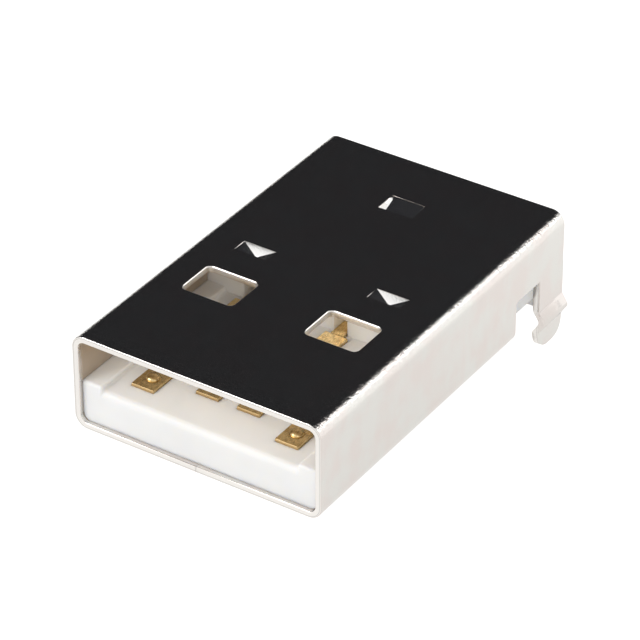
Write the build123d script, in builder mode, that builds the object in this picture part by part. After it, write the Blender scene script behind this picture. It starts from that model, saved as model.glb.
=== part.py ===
from build123d import *
import os

os.makedirs("parts", exist_ok=True)

# USB-A plug for the edge of a circuit board: a folded shell, an insulator and four contacts.
# The origin is the middle of the mouth. X runs across the plug, Y runs back from the mouth
# towards the board and Z is up. A size named ..._height is measured from the shell's underside.

# Shell, one folded sheet
shell_width = 12.0
shell_height = 4.5
shell_length = 18.75
sheet = 0.3
bend_radius = 0.62
rim_round = 0.05
overrun = 1.0

# Notch at the rear, where the board comes in ahead of the legs
notch_length = 1.95
notch_height = 2.08
notch_corner = 0.2

# Seam along the middle of the underside, with its dovetail
seam_gap = 0.02
dovetail_root = 0.9
dovetail_head = 1.3
dovetail_depth = 0.8
dovetail_setback = 4.25

# Windows for the springs of the socket, two above and two below
window_width = 2.5
window_length = 2.0
window_corner = 0.22
window_round = 0.1
window_inset = 3.0
window_front = 5.16

# Punch marks, four-sided hollows that bite the front of the insulator's block
punch_width = 1.62
punch_length = 0.74
punch_inset = 2.73
punch_depth = 0.34
punch_nose = 0.1
punch_step = 0.07
punch_wall = 0.22
punch_round = 0.05

# Latch, a ramp pressed down out of the sheet with its open end towards the mouth
latch_width = 1.66
latch_length = 1.12
latch_setback = 3.98
latch_depth = 0.45
latch_start = 0.01
latch_draft = 0.12
latch_wall = 0.14

# Board legs and their outward kink
leg_length = 1.95
leg_front_shoulder = 0.42
leg_rear_shoulder = 0.6
leg_reach = 1.5
leg_tip_share = 0.5
kink_top = 0.5
kink_middle = -0.04
kink_bottom = -0.57
kink_out = 0.34
kink_round = 0.25

# Insulator
fit = 0.02
setback = 0.2
tongue_height = 1.96
lead_radius = 0.3
belly_radius = 0.36
rail_width = 0.93
rail_height = 2.2
rail_lead = 0.12
rail_round = 0.11
block_front = 9.05
rear_setback = 0.45
seat_step = 0.15
seat_height = 1.15
lug_width = 0.6
lug_height = 0.6
lug_round = 0.25

# Contacts, an outer and an inner pair, whose pitches are shares of the shell's width
outer_pitch_share = 7 / 12
inner_pitch_share = 2 / 12
outer_pad_front = 1.28
inner_pad_front = 2.26
pad_width = 1.1
pad_rear = 8.75
pad_corner = 0.05
strip = 0.3
contact_height = 2.09
nose_bevel = 0.04
stem_width = 0.62
tail_setback = 1.45
tail_bend = 0.25
tail_reach = 1.5
tail_taper = 0.18
pip_radius = 0.27
pip_height = 0.1
pip_setback = 0.78
slot_gap = 0.02
slot_height = 3.7
slot_length = 2.0

# Levels and places that several pieces share
underside = -shell_height / 2
top = shell_height / 2
side = shell_width / 2
inner_side = side - sheet
inner_floor = underside + sheet
inner_roof = top - sheet
notch_top = underside + notch_height
leg_front = shell_length - leg_length
floor_length = leg_front - notch_length
block_rear = shell_length - rear_setback
tongue_top = underside + tongue_height
rail_side = inner_side - fit - rail_width
seat_front = floor_length + seat_step
punch_place = block_front + punch_step
punch_pitch = shell_width - 2 * punch_inset
latch_front = shell_length - latch_setback
outer_place = side * outer_pitch_share
inner_place = side * inner_pitch_share
tail_place = shell_length - tail_setback
contact_top = underside + contact_height
contact_bottom = contact_top - strip
tail_front = tail_place - strip / 2
tail_rear = tail_place + strip / 2
contact_rows = (
    (-outer_place, outer_pad_front),
    (-inner_place, inner_pad_front),
    (inner_place, inner_pad_front),
    (outer_place, outer_pad_front),
)

# Leg: the kinked section, seen from the rear, cut to the tongue's outline seen from the side
with BuildPart() as leg:
    with BuildSketch(Plane.XZ.offset(-leg_front)):
        with BuildLine():
            Polyline(
                (inner_side, notch_top),
                (side, notch_top),
                (side, underside + kink_top),
                (side + kink_out, underside + kink_middle),
                (side, underside + kink_bottom),
                (side, underside - leg_reach - overrun),
                (inner_side, underside - leg_reach - overrun),
                (inner_side, underside + kink_bottom),
                (inner_side + kink_out, underside + kink_middle),
                (inner_side, underside + kink_top),
                close=True,
            )
        make_face()
        kink_corners = vertices().filter_by_position(
            Axis.Y, underside + kink_bottom, underside + kink_top
        )
        fillet(kink_corners, kink_round)
    extrude(amount=-(shell_length - leg_front))
    with BuildSketch(Plane.YZ.offset(inner_side)):
        with BuildLine():
            tip = Spline(
                (leg_front, underside - leg_front_shoulder),
                (leg_front + leg_tip_share * leg_length, underside - leg_reach),
                (shell_length, underside - leg_rear_shoulder),
                tangents=((0, -1), (1, 0), (0, 1)),
            )
            Polyline(tip @ 0, (leg_front, notch_top), (shell_length, notch_top), tip @ 1)
        make_face()
    extrude(amount=sheet + kink_out, mode=Mode.INTERSECT)

with BuildPart() as shell:
    with BuildSketch(Plane.XZ):
        RectangleRounded(shell_width, shell_height, bend_radius)
        RectangleRounded(
            shell_width - 2 * sheet,
            shell_height - 2 * sheet,
            bend_radius - sheet,
            mode=Mode.SUBTRACT,
        )
    extrude(amount=-shell_length)
    for end in faces().filter_by(Axis.Y):
        fillet(end.edges(), rim_round)

    # The lower part stops where the board begins, and only the legs go on
    with BuildSketch(Plane.YZ.offset(-side - overrun)):
        with Locations((floor_length, notch_top)):
            Rectangle(
                shell_length - floor_length + overrun,
                notch_height + overrun,
                align=(Align.MIN, Align.MAX),
            )
        fillet(vertices().sort_by_distance((floor_length, notch_top))[0], notch_corner)
    extrude(amount=shell_width + 2 * overrun, mode=Mode.SUBTRACT)
    add(leg.part)
    add(mirror(leg.part, about=Plane.YZ))

    # Windows, through the top and the floor alike
    with BuildSketch(Plane.XY.offset(underside - overrun)):
        with Locations((0, window_front + window_length / 2)):
            with GridLocations(shell_width - 2 * window_inset, 0, 2, 1):
                RectangleRounded(window_width, window_length, window_corner)
    extrude(amount=shell_height + 2 * overrun, mode=Mode.SUBTRACT)
    flats = faces().filter_by(Axis.Z).sort_by(Axis.Z)
    for face in (flats[0], flats[-1]):
        fillet(face.inner_wires().edges(), window_round)

    # Seam, which steps aside round the dovetail
    with BuildSketch(Plane.XY.offset(underside - overrun)):
        with BuildLine():
            Polyline(
                (0, -overrun),
                (0, floor_length - dovetail_setback - dovetail_root / 2),
                (dovetail_depth, floor_length - dovetail_setback - dovetail_head / 2),
                (dovetail_depth, floor_length - dovetail_setback + dovetail_head / 2),
                (0, floor_length - dovetail_setback + dovetail_root / 2),
                (0, floor_length + overrun),
            )
        trace(line_width=seam_gap)
    extrude(amount=overrun + 2 * sheet, mode=Mode.SUBTRACT)

    # Punch marks: the boss that stands into the shell, then the hollow above it
    for place in (-punch_pitch / 2, punch_pitch / 2):
        for level, width, length in (
            (inner_roof, punch_width + punch_wall, punch_length + punch_wall),
            (inner_roof - punch_depth, punch_nose + punch_wall, punch_nose + punch_wall),
        ):
            with BuildSketch(Plane.XY.offset(level)):
                with Locations((place, punch_place)):
                    Rectangle(width, length)
        loft()
        for level, width, length in (
            (top, punch_width, punch_length),
            (top - punch_depth, punch_nose, punch_nose),
        ):
            with BuildSketch(Plane.XY.offset(level)):
                with Locations((place, punch_place)):
                    Rectangle(width, length)
        loft(mode=Mode.SUBTRACT)
    mark_edges = faces().filter_by(Axis.Z).sort_by(Axis.Z)[-1].inner_wires().edges()
    mark_edges = mark_edges.filter_by_position(
        Axis.Y, punch_place - punch_length, punch_place + punch_length
    )
    fillet(mark_edges, punch_round)

    # Latch: the ramp that stands into the shell, then the hollow above it
    for level, wall, cut in ((inner_roof, latch_wall, Mode.ADD), (top, 0, Mode.SUBTRACT)):
        for place, depth in (
            (latch_front, latch_depth),
            (latch_front + latch_length, latch_start),
        ):
            with BuildSketch(Plane.XZ.offset(-place)):
                with BuildLine():
                    right = Polyline(
                        (0, level),
                        (latch_width / 2 + wall, level),
                        (latch_width / 2 + wall - latch_draft, level - depth),
                        (0, level - depth),
                    )
                    mirror(right, about=Plane.YZ)
                make_face()
        loft(mode=cut)
shell.part.label = "shell"
export_step(shell.part, "parts/shell.step")

with BuildPart() as insulator:
    # Raised rails along both sides of the tongue, which guide the socket
    with BuildSketch(Plane.YZ.offset(rail_side)):
        with Locations((setback, underside + rail_height)):
            Rectangle(
                block_front - setback, rail_height - sheet - belly_radius, align=(Align.MIN, Align.MAX)
            )
        fillet(vertices().sort_by_distance((setback, underside + rail_height))[0], rail_lead)
    extrude(amount=rail_width)
    inner_face = faces().sort_by(Axis.X)[0]
    fillet(inner_face.edges().filter_by_position(Axis.Y, setback, block_front, (True, False)), rail_round)
    mirror(about=Plane.YZ)

    # Tongue and front half of the block, resting on the shell's floor
    with BuildSketch(Plane.YZ):
        with Locations((setback, inner_floor)):
            Rectangle(seat_front - setback, tongue_height - sheet, align=Align.MIN)
        fillet(vertices().sort_by_distance((setback, tongue_top))[0], lead_radius)
    extrude(amount=inner_side - fit, both=True)
    floor_edges = faces().sort_by(Axis.Z)[0].edges().filter_by(Axis.Y)
    fillet(floor_edges, belly_radius)
    tongue_face = faces().sort_by_distance((0, block_front / 2, tongue_top))[0]
    fillet(tongue_face.edges().filter_by(Axis.Y), rail_round)

    # Block, whose rear part stands on the board
    with BuildSketch(Plane.XZ.offset(-block_front)):
        with Locations((0, underside + seat_height)):
            Rectangle(
                2 * (inner_side - fit),
                inner_roof - fit - underside - seat_height,
                align=(Align.CENTER, Align.MIN),
            )
        fillet(vertices().group_by(Axis.Y)[-1], bend_radius - sheet)
    extrude(amount=-(block_rear - block_front))

    # Lugs that go down into the board behind the legs
    with BuildSketch(Plane.XY.offset(underside + seat_height)):
        for direction in (-1, 1):
            with Locations((direction * (inner_side - fit - lug_width / 2), leg_front + fit)):
                Rectangle(
                    lug_width, block_rear - leg_front - fit, align=(Align.CENTER, Align.MIN)
                )
    extrude(amount=-(seat_height - lug_height))
    lug_ends = faces().filter_by_position(Axis.Y, leg_front, block_rear).sort_by(Axis.Z)[:2]
    fillet([face.edges().sort_by(Axis.Y)[0] for face in lug_ends], lug_round)

    # Seats for the contacts: a groove for each pad, a slot through the block, a comb at the rear
    for place, pad_front in contact_rows:
        with BuildSketch(Plane.XY.offset(contact_bottom)):
            with Locations((place, pad_front - slot_gap)):
                Rectangle(
                    pad_width + 2 * slot_gap,
                    pad_rear - pad_front + 2 * slot_gap,
                    align=(Align.CENTER, Align.MIN),
                )
        extrude(amount=overrun, mode=Mode.SUBTRACT)
        with BuildSketch(Plane.YZ.offset(place)):
            with Locations((pad_rear, contact_bottom)):
                Rectangle(
                    block_rear - pad_rear + overrun,
                    strip + slot_gap,
                    align=Align.MIN,
                )
                Rectangle(
                    block_front + slot_length - pad_rear,
                    underside + slot_height - contact_bottom,
                    align=Align.MIN,
                )
            with Locations((tail_front - slot_gap, contact_bottom)):
                Rectangle(
                    block_rear - tail_front + overrun,
                    contact_height,
                    align=(Align.MIN, Align.MAX),
                )
            comb_corner = vertices().sort_by_distance((tail_front - slot_gap, contact_bottom))[0]
            fillet(comb_corner, tail_bend)
        extrude(amount=stem_width / 2 + slot_gap, both=True, mode=Mode.SUBTRACT)

    # Pockets for the punch marks and the latch
    with BuildSketch(Plane.XY.offset(inner_roof)):
        with Locations((0, punch_place)):
            with GridLocations(punch_pitch, 0, 2, 1):
                Rectangle(
                    punch_width + punch_wall + 2 * fit,
                    punch_length + punch_wall + 2 * fit,
                )
    extrude(amount=-(punch_depth + fit), mode=Mode.SUBTRACT)
    with BuildSketch(Plane.XY.offset(inner_roof)):
        with Locations((0, latch_front - fit)):
            Rectangle(
                latch_width + 2 * latch_wall + 2 * fit,
                latch_length + fit,
                align=(Align.CENTER, Align.MIN),
            )
    extrude(amount=-(latch_depth + fit), mode=Mode.SUBTRACT)
insulator.part.label = "insulator"
export_step(insulator.part, "parts/insulator.step")

# Contacts, numbered from the left as seen from the mouth
for number, (place, pad_front) in enumerate(contact_rows, start=1):
    with BuildPart() as contact:
        # Stem and tail, one strip bent down through the board
        with BuildSketch(Plane.YZ.offset(place)):
            with Locations((pad_rear - strip, contact_top)):
                Rectangle(tail_rear - pad_rear + strip, strip, align=(Align.MIN, Align.MAX))
            with Locations((tail_front, contact_top)):
                Rectangle(strip, contact_height + tail_reach, align=(Align.MIN, Align.MAX))
            fillet(vertices().sort_by_distance((tail_front, contact_bottom))[0], tail_bend)
            fillet(vertices().sort_by_distance((tail_rear, contact_top))[0], tail_bend + strip)
        extrude(amount=stem_width / 2, both=True)
        tail_end = faces().sort_by(Axis.Z)[0]
        chamfer(tail_end.edges().filter_by(Axis.Y), tail_taper)

        # Pad with its bevelled nose
        with BuildSketch(Plane.XY.offset(contact_top)):
            with Locations((place, pad_front)):
                Rectangle(pad_width, pad_rear - pad_front, align=(Align.CENTER, Align.MIN))
            fillet(vertices().group_by(Axis.Y)[0], pad_corner)
        extrude(amount=-strip)
        nose = faces().filter_by(Axis.Y).sort_by(Axis.Y)[0]
        chamfer(nose.edges().sort_by(Axis.Z)[-1], nose_bevel)

        # Pip raised on the outer pads
        if abs(place) == outer_place:
            with BuildSketch(Plane.XZ.offset(-(pad_front + pip_setback))):
                with BuildLine():
                    dome = ThreePointArc(
                        (place - pip_radius, contact_top),
                        (place, contact_top + pip_height),
                        (place + pip_radius, contact_top),
                    )
                    Line(dome @ 0, dome @ 1)
                make_face()
                split(bisect_by=Plane.YZ.offset(place))
            revolve(axis=Axis((place, pad_front + pip_setback, 0), (0, 0, 1)))
    contact.part.label = f"contact_{number}"
    export_step(contact.part, f"parts/contact_{number}.step")
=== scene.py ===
import math

import bmesh
import bpy
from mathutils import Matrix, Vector


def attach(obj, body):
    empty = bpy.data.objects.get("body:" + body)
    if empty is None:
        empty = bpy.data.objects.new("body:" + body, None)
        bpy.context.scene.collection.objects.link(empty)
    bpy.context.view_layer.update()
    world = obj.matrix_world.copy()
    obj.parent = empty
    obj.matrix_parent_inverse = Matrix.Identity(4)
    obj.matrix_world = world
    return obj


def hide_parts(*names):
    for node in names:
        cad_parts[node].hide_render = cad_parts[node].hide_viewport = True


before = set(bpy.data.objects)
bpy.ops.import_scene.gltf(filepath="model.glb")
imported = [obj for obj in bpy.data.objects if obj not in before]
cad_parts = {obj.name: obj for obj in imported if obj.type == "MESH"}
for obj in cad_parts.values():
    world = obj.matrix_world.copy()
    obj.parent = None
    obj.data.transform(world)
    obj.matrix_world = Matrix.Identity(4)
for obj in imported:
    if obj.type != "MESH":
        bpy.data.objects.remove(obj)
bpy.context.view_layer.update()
mm = 0.001


# A socket of a node tree. Sums on it add Math nodes, so a pattern reads as a formula.
class Signal:
    def __init__(self, tree, socket=None):
        self.tree = tree
        self.socket = socket

    def node(self, kind, settings=None, sockets=None, out=0):
        made = self.tree.nodes.new(kind)
        for name, value in (settings or {}).items():
            setattr(made, name, value)
        for name, value in (sockets or {}).items():
            if isinstance(value, (Signal, list)):
                for source in value if isinstance(value, list) else [value]:
                    self.tree.links.new(source.socket, made.inputs[name])
            elif value is not None:
                made.inputs[name].default_value = value
        return Signal(self.tree, made.outputs[out] if made.outputs else None)

    def math(self, operation, *values):
        return self.node("ShaderNodeMath", {"operation": operation}, dict(enumerate(values)))

    def __add__(self, other):
        return self.math("ADD", self, other)

    def __radd__(self, other):
        return self.math("ADD", other, self)

    def __sub__(self, other):
        return self.math("SUBTRACT", self, other)

    def __rsub__(self, other):
        return self.math("SUBTRACT", other, self)

    def __mul__(self, other):
        return self.math("MULTIPLY", self, other)

    def __rmul__(self, other):
        return self.math("MULTIPLY", other, self)

    def between(self, low, high):  # 0 at low and 1 at high, held outside
        return self.node("ShaderNodeMapRange", None, {0: self, 1: low, 2: high})

    def blend(self, first, second):  # two colours by this mask
        return self.node("ShaderNodeMix", {"data_type": "RGBA"}, {0: self, 6: first, 7: second}, 2)

    def noise(self, size, detail=2.0, stretch=(1, 1, 1)):  # size of a grain in metres
        place = self.node(
            "ShaderNodeVectorMath", {"operation": "MULTIPLY"}, {0: self, 1: Vector(stretch)}
        )
        return self.node(
            "ShaderNodeTexNoise", None, {"Vector": place, "Scale": 1 / size, "Detail": detail}
        )


def newMaterial(name):
    material = bpy.data.materials.new(name)
    material.use_nodes = True
    material.node_tree.nodes.clear()
    return material, Signal(material.node_tree)


def finishMaterial(start, surface):
    start.node("ShaderNodeOutputMaterial", None, {"Surface": surface})


def rgb(red, green, blue):
    return (red, green, blue, 1)


# Bright nickel plate on rolled sheet, duller on its cut edges; painted shade with warm bounce
# light on the inner face, a painted highlight on the punched marks and a painted dark line in the
# cut edges
nickel = {
    "bright": rgb(0.755, 0.74, 0.705),
    "rosy": rgb(0.76, 0.705, 0.67),
    "cut": rgb(0.9, 0.87, 0.835),
    # painted shade and warm bounce light on the shell's inner face
    "inner": rgb(0.67, 0.575, 0.475),
    # a painted highlight on the punched marks' facets
    "punchedHighlight": rgb(0.95, 0.94, 0.92),
    "mottle": 1.4 * mm,
    "mottleShare": 0.6,
    "tintEdge": (0.42, 0.58),  # where bright turns to rosy
    "streak": 0.5 * mm,
    "streakStretch": (1, 0.35, 0.12),
    "streakEdge": (0.35, 0.7),
    "grain": 0.085 * mm,
    "grainDepth": 0.0022 * mm,
    "gloss": 0.1,
    "haze": 0.17,
    "cutHaze": 0.42,
    "innerHaze": 0.34,
    "bendCentre": (5.38 * mm, 1.63 * mm),  # X and Z of the bends' middle
    "bendInside": 0.32 * mm,
    "sheet": 0.3 * mm,
    "skinDepth": (0.8, 0.92),  # depths as sheetDepth gives them, here and below
    "hiddenDepth": (0.1, 0.02),
    "punchedDepth": (0.95, 0.85),
    "paintedLineDepth": (0.68, 0.74, 0.76, 0.82),
    "underside": -2.26 * mm,  # only the legs are below it
    "pressed": (8.6 * mm, 17 * mm, 1.7 * mm),  # front, rear and lowest level of the marks
    # from the mouth to here the inner face keeps the bright plate and its gloss; beyond, the
    # painted inner shade begins
    "mouthGloss": (0.1 * mm, 0.28 * mm),  # how far the rim's shine runs in
    # strength of the painted dark line in the cut edges
    "seamShade": 0.35,
    "edgeGrain": 6.0,  # added to the grain at the mouth and the top bends
    "edgeSize": 0.2 * mm,  # of the coarser waves there
    "edgeDepth": 0.018 * mm,
    "edgeFront": (0.9 * mm, 0.1 * mm),
    "edgeSide": (5.0 * mm, 5.7 * mm),
    "edgeLevel": (1.2 * mm, 1.7 * mm),
}


# Depth in the sheet, 0 on the shell's inner face and 1 on the outer one
def sheetDepth(x, z, values):
    bendX, bendZ = values["bendCentre"]
    across = x.math("MAXIMUM", x.math("ABSOLUTE", x) - bendX, 0.0)
    up = z.math("MAXIMUM", z.math("ABSOLUTE", z) - bendZ, 0.0)
    up = up * z.math("GREATER_THAN", z, values["underside"])
    reach = x.math("SQRT", across * across + up * up)
    return (reach - values["bendInside"]) * (1 / values["sheet"])


# Fine grain everywhere, coarser along the mouth's top edge and the top bends
def nickelGrain(place, x, y, z, values):
    edge = x.math("ABSOLUTE", x).between(*values["edgeSide"])
    edge = edge.math("MAXIMUM", y.between(*values["edgeFront"]), edge)
    edge = edge * z.between(*values["edgeLevel"])
    grain = place.noise(values["grain"], 3) * (1 + values["edgeGrain"] * edge)
    wave = place.noise(values["edgeSize"], 4) * edge
    return grain + wave * (values["edgeDepth"] / values["grainDepth"])


def makeNickel(name, values):
    material, start = newMaterial(name)
    place = start.node("ShaderNodeTexCoord", out="Object")
    x, y, z = (start.node("ShaderNodeSeparateXYZ", None, {0: place}, axis) for axis in (0, 1, 2))
    mottle = place.noise(values["mottle"], 3)
    streak = place.noise(values["streak"], 3, values["streakStretch"])
    tint = values["mottleShare"] * mottle + (1 - values["mottleShare"]) * streak
    tint = tint.between(*values["tintEdge"])

    # Masks: the marks punched in the top, the sheet's inner face and its outer skin
    depth = sheetDepth(x, z, values)
    front, rear, level = values["pressed"]
    pressed = y.math("COMPARE", y, (front + rear) / 2, (rear - front) / 2)
    pressed = pressed * z.math("GREATER_THAN", z, level)
    hidden = depth.between(*values["hiddenDepth"])
    skin = depth.math("MAXIMUM", depth.between(*values["skinDepth"]), pressed)
    # near the mouth the inner face keeps the bright plate instead of the painted shade
    mouthNear, mouthFar = values["mouthGloss"]
    skin = skin.math("MAXIMUM", skin, hidden * y.between(mouthFar, mouthNear))

    # A painted dark line runs in the cut edges, between the sheet's two faces: the shade between
    # their rounded edges' highlights
    lineIn, lineFull, lineHeld, lineOut = values["paintedLineDepth"]
    line = depth.between(lineIn, lineFull) * depth.between(lineOut, lineHeld)
    line = line * values["seamShade"]
    colour = line.blend(values["cut"], rgb(0, 0, 0))
    # painted shade: the inner face takes a darker, warmer colour for the shade and bounce light
    # inside the shell
    colour = hidden.blend(colour, values["inner"])
    colour = skin.blend(colour, tint.blend(values["bright"], values["rosy"]))
    # painted highlight: the punched marks' sunk facets turn near-white
    punchedHighlight = pressed * depth.between(*values["punchedDepth"])
    colour = punchedHighlight.blend(colour, values["punchedHighlight"])

    rough = streak.between(*values["streakEdge"])
    rough = values["gloss"] + (values["haze"] - values["gloss"]) * rough
    dull = values["cutHaze"] + (values["innerHaze"] - values["cutHaze"]) * hidden
    rough = dull + skin * (rough - dull)
    grain = nickelGrain(place, x, y, z, values)
    bump = start.node(
        "ShaderNodeBump",
        None,
        {"Strength": 1.0, "Distance": values["grainDepth"], "Height": grain},
    )
    surface = start.node(
        "ShaderNodeBsdfPrincipled",
        None,
        {"Base Color": colour, "Metallic": 1.0, "Roughness": rough, "Normal": bump},
    )
    finishMaterial(start, surface)
    return material


# White moulded plastic
plastic = {
    "white": rgb(0.89, 0.89, 0.885),
    "shade": rgb(0.85, 0.85, 0.845),
    "cloud": 2.5 * mm,
    "cloudEdge": (0.35, 0.75),
    "cloudHaze": 0.1,
    "pit": 0.06 * mm,
    "pitDepth": 0.0012 * mm,
    "satin": 0.38,
    "scatter": 0.85,
    "scatterDepth": 0.3 * mm,
    "scatterTint": (1.0, 0.92, 0.8),
    "specular": 0.32,
    "ior": 1.47,
}


def makePlastic(name, values):
    material, start = newMaterial(name)
    place = start.node("ShaderNodeTexCoord", out="Object")
    cloud = place.noise(values["cloud"], 2)
    colour = cloud.between(*values["cloudEdge"]).blend(values["white"], values["shade"])
    pit = place.noise(values["pit"], 2)
    bump = start.node(
        "ShaderNodeBump", None, {"Strength": 1.0, "Distance": values["pitDepth"], "Height": pit}
    )
    rough = values["satin"] + values["cloudHaze"] * cloud
    surface = start.node(
        "ShaderNodeBsdfPrincipled",
        None,
        {
            "Base Color": colour,
            "Roughness": rough,
            "Normal": bump,
            "IOR": values["ior"],
            "Specular IOR Level": values["specular"],
            "Subsurface Weight": values["scatter"],
            "Subsurface Radius": values["scatterTint"],
            "Subsurface Scale": values["scatterDepth"],
        },
    )
    finishMaterial(start, surface)
    return material


# Gold plate on stamped strip, tan and dull where the strip was cut off
gold = {
    "yellow": rgb(0.86, 0.665, 0.35),
    "brown": rgb(0.56, 0.4, 0.19),
    "tan": rgb(0.66, 0.48, 0.25),
    "mottle": 0.35 * mm,
    "mottleShare": 0.4,
    "mottleHaze": 0.12,
    "shadeEdge": (0.42, 0.6),
    "line": 0.05 * mm,
    "lineStretch": (1, 0.3, 1),
    "lineDepth": 0.0016 * mm,
    "satin": 0.2,
    "cutHaze": 0.3,
}


def makeGold(name, values):
    material, start = newMaterial(name)
    place = start.node("ShaderNodeTexCoord", out="Object")
    mottle = place.noise(values["mottle"], 3)
    line = place.noise(values["line"], 3, values["lineStretch"])
    cut = start.node("ShaderNodeAttribute", {"attribute_name": "cut"}, out="Fac")
    shade = values["mottleShare"] * mottle + (1 - values["mottleShare"]) * line
    shade = shade.between(*values["shadeEdge"])
    colour = cut.blend(shade.blend(values["yellow"], values["brown"]), values["tan"])
    bump = start.node(
        "ShaderNodeBump", None, {"Strength": 1.0, "Distance": values["lineDepth"], "Height": line}
    )
    rough = values["satin"] + values["mottleHaze"] * mottle + values["cutHaze"] * cut
    surface = start.node(
        "ShaderNodeBsdfPrincipled",
        None,
        {"Base Color": colour, "Metallic": 1.0, "Roughness": rough, "Normal": bump},
    )
    finishMaterial(start, surface)
    return material


nickelPlate = makeNickel("nickelPlate", nickel)
whitePlastic = makePlastic("whitePlastic", plastic)
goldPlate = makeGold("goldPlate", gold)
print("materials made")


# How sharp edges are softened and the CAD's triangles merged
softening = {
    "segments": 2,
    "sharp": math.radians(20),
    "weld": 0.0005 * mm,
    "flat": math.radians(0.5),
    "wallReach": 0.001 * mm,
}


# Sharp edges softened, and the piece put in the place of its CAD node
def dress(piece, node, width):
    bevel = piece.modifiers.new("softEdges", "BEVEL")
    bevel.width = width
    bevel.segments = softening["segments"]
    bevel.limit_method = "ANGLE"
    bevel.angle_limit = softening["sharp"]
    bevel.harden_normals = True
    shading = piece.modifiers.new("flatShading", "WEIGHTED_NORMAL")
    shading.keep_sharp = True
    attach(piece, "root")
    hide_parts(node)


# A CAD node's copy, merged and its flats made whole
def softenedCopy(node, name, material, width, walls=None):
    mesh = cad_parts[node].data.copy()
    mesh.name = name
    work = bmesh.new()
    work.from_mesh(mesh)
    bmesh.ops.remove_doubles(work, verts=work.verts, dist=softening["weld"])
    if walls:  # the fit's gap closed, from the first distance to the second
        for vertex in work.verts:
            if abs(vertex.co.x) > walls[0] - softening["wallReach"]:
                vertex.co.x = math.copysign(walls[1], vertex.co.x)
    bmesh.ops.dissolve_limit(
        work, angle_limit=softening["flat"], verts=work.verts, edges=work.edges
    )
    work.to_mesh(mesh)
    work.free()
    mesh.materials.clear()
    mesh.materials.append(material)
    mesh.shade_smooth()
    piece = bpy.data.objects.new(name, mesh)
    bpy.context.scene.collection.objects.link(piece)
    dress(piece, node, width)


shell = {"softness": 0.02 * mm}
insulator = {"softness": 0.012 * mm, "walls": (5.68 * mm, 5.698 * mm)}
softenedCopy("shell", "shellPlate", nickelPlate, shell["softness"])
softenedCopy(
    "insulator",
    "insulatorMoulding",
    whitePlastic,
    insulator["softness"],
    insulator["walls"],
)
print("shell and insulator made")


# Contacts: a pad on the tongue, a stem that bends down into its tail, a pip on the outer ones.
# Each row is the contact's place across, where its pad begins, both in mm, and its pip
contact = {
    "rows": ((-3.5, 1.28, True), (-1.0, 2.26, False), (1.0, 2.26, False), (3.5, 1.28, True)),
    "level": -0.16 * mm,  # top of the pads
    "strip": 0.3 * mm,
    "padWidth": 1.1 * mm,
    "padRear": 8.75 * mm,
    "cutReach": 0.01 * mm,
    "stemWidth": 0.62 * mm,
    "tailPlace": 17.3 * mm,
    "tailEnd": -3.75 * mm,
    "tailTaper": 0.18 * mm,
    "tailTip": 0.42,  # share of the tail's width
    "tailBend": 0.4 * mm,
    "bendPoints": 8,
    "pipSetback": 0.78 * mm,
    "pipSize": (0.32 * mm, 0.32 * mm, 0.19 * mm),
    "pipSides": 32,
    "pipRings": 16,
    "softness": 0.04 * mm,
}


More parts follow.
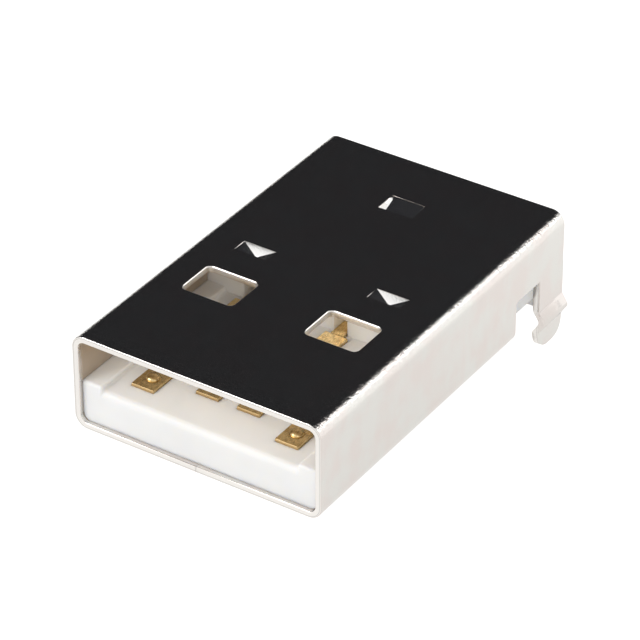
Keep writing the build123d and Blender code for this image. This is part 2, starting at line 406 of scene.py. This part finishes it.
def makeContactTree(values):
    tree = bpy.data.node_groups.new("contactTree", "GeometryNodeTree")
    for name, kind in (("Place", "Float"), ("Pad Front", "Float"), ("Pip", "Bool")):
        tree.interface.new_socket(name, in_out="INPUT", socket_type="NodeSocket" + kind)
    tree.interface.new_socket("Geometry", in_out="OUTPUT", socket_type="NodeSocketGeometry")
    start = Signal(tree)
    place, padFront, pip = (start.node("NodeGroupInput", out=k) for k in range(3))

    def point(x, y, z):
        return start.node("ShaderNodeCombineXYZ", None, {0: x, 1: y, 2: z})

    # Pad: a flat box whose front face is marked as cut
    middle = values["level"] - values["strip"] / 2
    length = values["padRear"] - padFront
    size = point(values["padWidth"], length, values["strip"])
    pad = start.node("GeometryNodeMeshCube", None, {"Size": size})
    pad = start.node(
        "GeometryNodeTransform",
        None,
        {"Geometry": pad, "Translation": point(place, padFront + length * 0.5, middle)},
    )
    position = start.node("GeometryNodeInputPosition")
    depth = start.node("ShaderNodeSeparateXYZ", None, {0: position}, 1)
    front = depth.math("LESS_THAN", depth, padFront + values["cutReach"])
    pad = start.node(
        "GeometryNodeStoreNamedAttribute",
        {"data_type": "FLOAT", "domain": "FACE"},
        {"Geometry": pad, "Name": "cut", "Value": front},
    )

    # Stem: a strip swept along a bent line, narrower at the tail's tip
    stem = start.node(
        "GeometryNodeCurvePrimitiveQuadrilateral",
        {"mode": "POINTS"},
        {
            "Point 1": point(place, values["padRear"], middle),
            "Point 2": point(place, values["tailPlace"], middle),
            "Point 3": point(place, values["tailPlace"], values["tailEnd"] + values["tailTaper"]),
            "Point 4": point(place, values["tailPlace"], values["tailEnd"]),
        },
    )
    stem = start.node("GeometryNodeSetSplineCyclic", None, {"Geometry": stem, "Cyclic": False})
    order = start.node("GeometryNodeInputIndex")
    same = {"data_type": "INT", "operation": "EQUAL"}
    tip = start.node("FunctionNodeCompare", same, {"A": order, "B": 3})
    stem = start.node(
        "GeometryNodeSetCurveRadius",
        None,
        {"Curve": stem, "Selection": tip, "Radius": values["tailTip"]},
    )
    bend = start.node("FunctionNodeCompare", same, {"A": order, "B": 1})
    stem = start.node(
        "GeometryNodeFilletCurve",
        {"mode": "POLY"},
        {
            "Curve": stem,
            "Count": values["bendPoints"],
            "Radius": values["tailBend"] * bend,
            "Limit Radius": True,
        },
    )
    profile = start.node(
        "GeometryNodeCurvePrimitiveQuadrilateral",
        {"mode": "RECTANGLE"},
        {"Width": values["stemWidth"], "Height": values["strip"]},
    )
    stem = start.node(
        "GeometryNodeCurveToMesh",
        None,
        {"Curve": stem, "Profile Curve": profile, "Fill Caps": True},
    )

    # Pip: a flattened ball let into the pad, where the row asks for one
    dome = start.node(
        "GeometryNodeMeshUVSphere",
        None,
        {"Segments": values["pipSides"], "Rings": values["pipRings"], "Radius": 1.0},
    )
    dome = start.node(
        "GeometryNodeTransform",
        None,
        {
            "Geometry": dome,
            "Translation": point(place, padFront + values["pipSetback"], values["level"]),
            "Scale": Vector(values["pipSize"]),
        },
    )
    dome = start.node(
        "GeometryNodeSwitch", {"input_type": "GEOMETRY"}, {"Switch": pip, "True": dome}
    )
    whole = start.node("GeometryNodeJoinGeometry", None, {"Geometry": [pad, stem, dome]})
    whole = start.node("GeometryNodeRealizeInstances", None, {"Geometry": whole})
    whole = start.node(
        "GeometryNodeSetShadeSmooth", None, {"Geometry": whole, "Shade Smooth": True}
    )
    whole = start.node(
        "GeometryNodeSetMaterial", None, {"Geometry": whole, "Material": goldPlate}
    )
    start.node("NodeGroupOutput", None, {"Geometry": whole})
    return tree


contactTree = makeContactTree(contact)
for number, (place, padFront, pip) in enumerate(contact["rows"], start=1):
    name = f"contactStrip{number}"
    piece = bpy.data.objects.new(name, bpy.data.meshes.new(name))
    bpy.context.scene.collection.objects.link(piece)
    growth = piece.modifiers.new("growth", "NODES")
    growth.node_group = contactTree
    sockets = {item.name: item.identifier for item in contactTree.interface.items_tree}
    growth[sockets["Place"]] = place * mm
    growth[sockets["Pad Front"]] = padFront * mm
    growth[sockets["Pip"]] = pip
    grown = piece.evaluated_get(bpy.context.evaluated_depsgraph_get())
    piece.data = bpy.data.meshes.new_from_object(grown)
    piece.modifiers.remove(growth)
    dress(piece, f"contact_{number}", contact["softness"])
print("contacts made")


# Studio: a pale floor through the mouth's lower edge and the leg tips, both given as Y and Z
# in mm, and a dark cloth overhead that shows only in reflections
studio = {
    "mouthFoot": (0.0, -2.25),
    "legFoot": (17.775, -3.8),
    "floorHalf": 0.9,
    "floorColour": rgb(0.86, 0.86, 0.85),
    "floorShade": rgb(0.25, 0.25, 0.25),
    "glowColour": rgb(1, 0.995, 0.985),
    "floorGlow": 0.78,
    "cameraGlow": 0.16,  # added for the camera
    # the floor's glow is weaker within the near distance of the plug: a painted shade round it
    "farGlow": 0.22,  # added from the near distance to the far one
    "near": 0.012,
    "far": 0.08,
    "worldLight": 0.75,  # on the plug, where 1 is what the camera sees
    "flagDistance": 0.6,
    "flagAzimuth": (-114, 34),
    "flagFoot": (-8, 9),  # lowest elevation on the left and on the right
    "flagCap": 56,  # above it the cloth goes all round
    "flagSoftness": (5, 8, 5),  # degrees at the left, right and lower rims
    "flagBottom": -10,  # of the dome that carries the cloth
    "flagGrid": (90, 36),
    "flagColour": rgb(0.03, 0.0305, 0.034),
    "lampTarget": (0, 9 * mm, 0),
}


def newStage(name, mesh, material):
    piece = bpy.data.objects.new(name, mesh)
    bpy.context.scene.collection.objects.link(piece)
    mesh.materials.append(material)
    return piece


# The floor glows for the camera and in reflections, and is a plain pale board otherwise. Its glow
# is weaker near the plug, a painted shade round it
def makeFloor(values):
    material, start = newMaterial("paleFloor")
    camera = start.node("ShaderNodeLightPath", out="Is Camera Ray")
    seen = camera
    for ray in ("Is Glossy Ray", "Is Transmission Ray"):
        seen = seen.math("MAXIMUM", seen, start.node("ShaderNodeLightPath", out=ray))
    carry = start.node("ShaderNodeBsdfDiffuse", None, {"Color": values["floorColour"]})
    shade = start.node("ShaderNodeBsdfDiffuse", None, {"Color": values["floorShade"]})
    place = start.node("ShaderNodeTexCoord", out="Object")
    distance = start.node("ShaderNodeVectorMath", {"operation": "LENGTH"}, {0: place}, 1)
    strength = values["floorGlow"] + values["cameraGlow"] * camera
    strength = strength + values["farGlow"] * distance.between(values["near"], values["far"])
    glow = start.node(
        "ShaderNodeEmission", None, {"Color": values["glowColour"], "Strength": strength}
    )
    shown = start.node("ShaderNodeAddShader", None, {0: shade, 1: glow})
    surface = start.node("ShaderNodeMixShader", None, {0: seen, 1: carry, 2: shown})
    finishMaterial(start, surface)
    half = values["floorHalf"]
    feet = (values["mouthFoot"], values["legFoot"])
    front, rear = (Vector((0, y * mm, z * mm)) for y, z in feet)
    along = (rear - front).normalized()
    corners = [
        front + along * y + Vector((x, 0, 0))
        for x, y in ((-half, -half), (half, -half), (half, half), (-half, half))
    ]
    mesh = bpy.data.meshes.new("floor")
    mesh.from_pydata(corners, [], [(0, 1, 2, 3)])
    newStage("floor", mesh, material)


def towards(azimuth, elevation):  # azimuth from +Y towards +X, in degrees
    a, e = math.radians(azimuth), math.radians(elevation)
    return Vector((math.sin(a) * math.cos(e), math.cos(a) * math.cos(e), math.sin(e)))


# A dome round the plug. Its cover is 1 inside the cloth's rims and fades out across them
def makeFlag(values):
    material, start = newMaterial("darkFlag")
    cover = start.node("ShaderNodeAttribute", {"attribute_name": "cover"}, out="Fac")
    clear = start.node("ShaderNodeBsdfTransparent")
    cloth = start.node("ShaderNodeBsdfDiffuse", None, {"Color": values["flagColour"]})
    finishMaterial(start, start.node("ShaderNodeMixShader", None, {0: cover, 1: clear, 2: cloth}))
    across, up = values["flagGrid"]
    left, right = values["flagAzimuth"]
    footLeft, footRight = values["flagFoot"]
    softLeft, softRight, softLow = values["flagSoftness"]
    points, covers = [], []
    for j in range(up + 1):
        elevation = 90 - (90 - values["flagBottom"]) * j / up
        for i in range(across + 1):
            azimuth = -180 + 360 * i / across
            points.append(values["flagDistance"] * towards(azimuth, elevation))
            low = footRight if azimuth > 0 else footLeft
            inside = min(
                (azimuth - left) / softLeft,
                (right - azimuth) / softRight,
                (elevation - low) / softLow,
            )
            inside = max(inside, (elevation - values["flagCap"]) / softLow)
            covers.append(min(1, max(0, inside)))
    faces = [
        (k, k + 1, k + across + 2, k + across + 1)
        for j in range(up)
        for k in range(j * (across + 1), j * (across + 1) + across)
    ]
    mesh = bpy.data.meshes.new("flag")
    mesh.from_pydata(points, [], faces)
    mesh.attributes.new("cover", "FLOAT", "POINT").data.foreach_set("value", covers)
    flag = newStage("flag", mesh, material)
    flag.visible_camera = False
    flag.visible_diffuse = False
    flag.visible_shadow = False


makeFloor(studio)
makeFlag(studio)


# Soft lamps aimed at the plug: azimuth and elevation in degrees, distance, size, power
lamps = {
    "edgeLamp": (38, 29, 0.5, (0.13, 0.14), 0.1),
    "bandLamp": (42.5, 6, 0.5, (0.2, 0.34), 0.055),
    "keyLamp": (-148, 30, 0.5, (0.25, 0.25), 0.95),
}
# Small fills in the mouth, the windows and the slots, for light that the photographed shell
# gathers: place in mm, aim, size in mm, brightness, the rays that see them, and colour
pale = (1, 0.94, 0.84)
tawny = (1, 0.71, 0.4)
fills = {
    "roofFill": ((0, 4.0, 1.88), (0, 0, -1), (11.0, 2.2), 0.25, "all", pale),
    "mouthFill": ((0, 1.2, 1.88), (0, 0, -1), (11.0, 2.0), 0.72, "diffuse", pale),
    "rearFill": ((2.4, 5.6, 1.8), (-0.1, 0.9, -0.45), (4.0, 1.0), 5.0, "diffuse", pale),
    "windowFill": ((-3.0, 6.16, 1.9), (0, 0, -1), (2.5, 2.0), 0.5, "diffuse", pale),
    "padFill": ((0.4, 8.85, 0.4), (0.3, -0.8, -0.5), (1.6, 0.8), 0.4, "glossy", pale),
    "slotFillRight": ((1.0, 9.9, 1.3), (0, -0.2, -1), (0.5, 1.2), 2.4, "diffuse", tawny),
    "slotFillLeft": ((-1.0, 9.9, 1.3), (0, -0.2, -1), (0.5, 1.2), 1.6, "diffuse", tawny),
}


def addLamp(name, place, backward, size, power, colour=(1, 1, 1), lit="all"):
    light = bpy.data.lights.new(name, "AREA")
    light.shape = "RECTANGLE"
    light.size, light.size_y = size
    light.energy = power
    light.color = colour
    lamp = bpy.data.objects.new(name, light)
    bpy.context.scene.collection.objects.link(lamp)
    lamp.location = place
    lamp.rotation_euler = backward.to_track_quat("Z", "Y").to_euler()
    lamp.visible_camera = False
    lamp.visible_glossy = lit != "diffuse"
    lamp.visible_diffuse = lit != "glossy"


for name, (azimuth, elevation, distance, size, power) in lamps.items():
    backward = towards(azimuth, elevation)
    addLamp(name, Vector(studio["lampTarget"]) + backward * distance, backward, size, power)
for name, (place, aim, size, brightness, lit, colour) in fills.items():
    width, length = (side * mm for side in size)
    power = brightness * math.pi * width * length
    addLamp(name, Vector(place) * mm, -Vector(aim), (width, length), power, colour, lit)

world = bpy.data.worlds.new("studioWorld")
world.use_nodes = True
world.node_tree.nodes.clear()
sky = Signal(world.node_tree)
seen = sky.node("ShaderNodeLightPath", out="Is Camera Ray")
seen = seen.math("MAXIMUM", seen, sky.node("ShaderNodeLightPath", out="Is Glossy Ray"))
strength = studio["worldLight"] + (1 - studio["worldLight"]) * seen
light = sky.node("ShaderNodeBackground", None, {"Color": rgb(1, 1, 1), "Strength": strength})
sky.node("ShaderNodeOutputWorld", None, {"Surface": light})
bpy.context.scene.world = world
bpy.context.scene.view_settings.view_transform = "Standard"
print("studio made")


# Camera, solved from the plug's straight edges in the photograph: place in mm, aim and lens
view = {
    "place": (66.913, -92.573, 81.920),
    "back": (0.4563, -0.6928, 0.5584),
    "lens": 199.236,
    "sensor": 36,
    "clip": (0.01, 10),
}
cameraData = bpy.data.cameras.new("camera")
cameraData.lens = view["lens"]
cameraData.sensor_width = view["sensor"]
cameraData.clip_start, cameraData.clip_end = view["clip"]
camera = bpy.data.objects.new("camera", cameraData)
bpy.context.scene.collection.objects.link(camera)
camera.location = Vector(view["place"]) * mm
camera.rotation_euler = Vector(view["back"]).to_track_quat("Z", "Y").to_euler()
bpy.context.scene.camera = camera
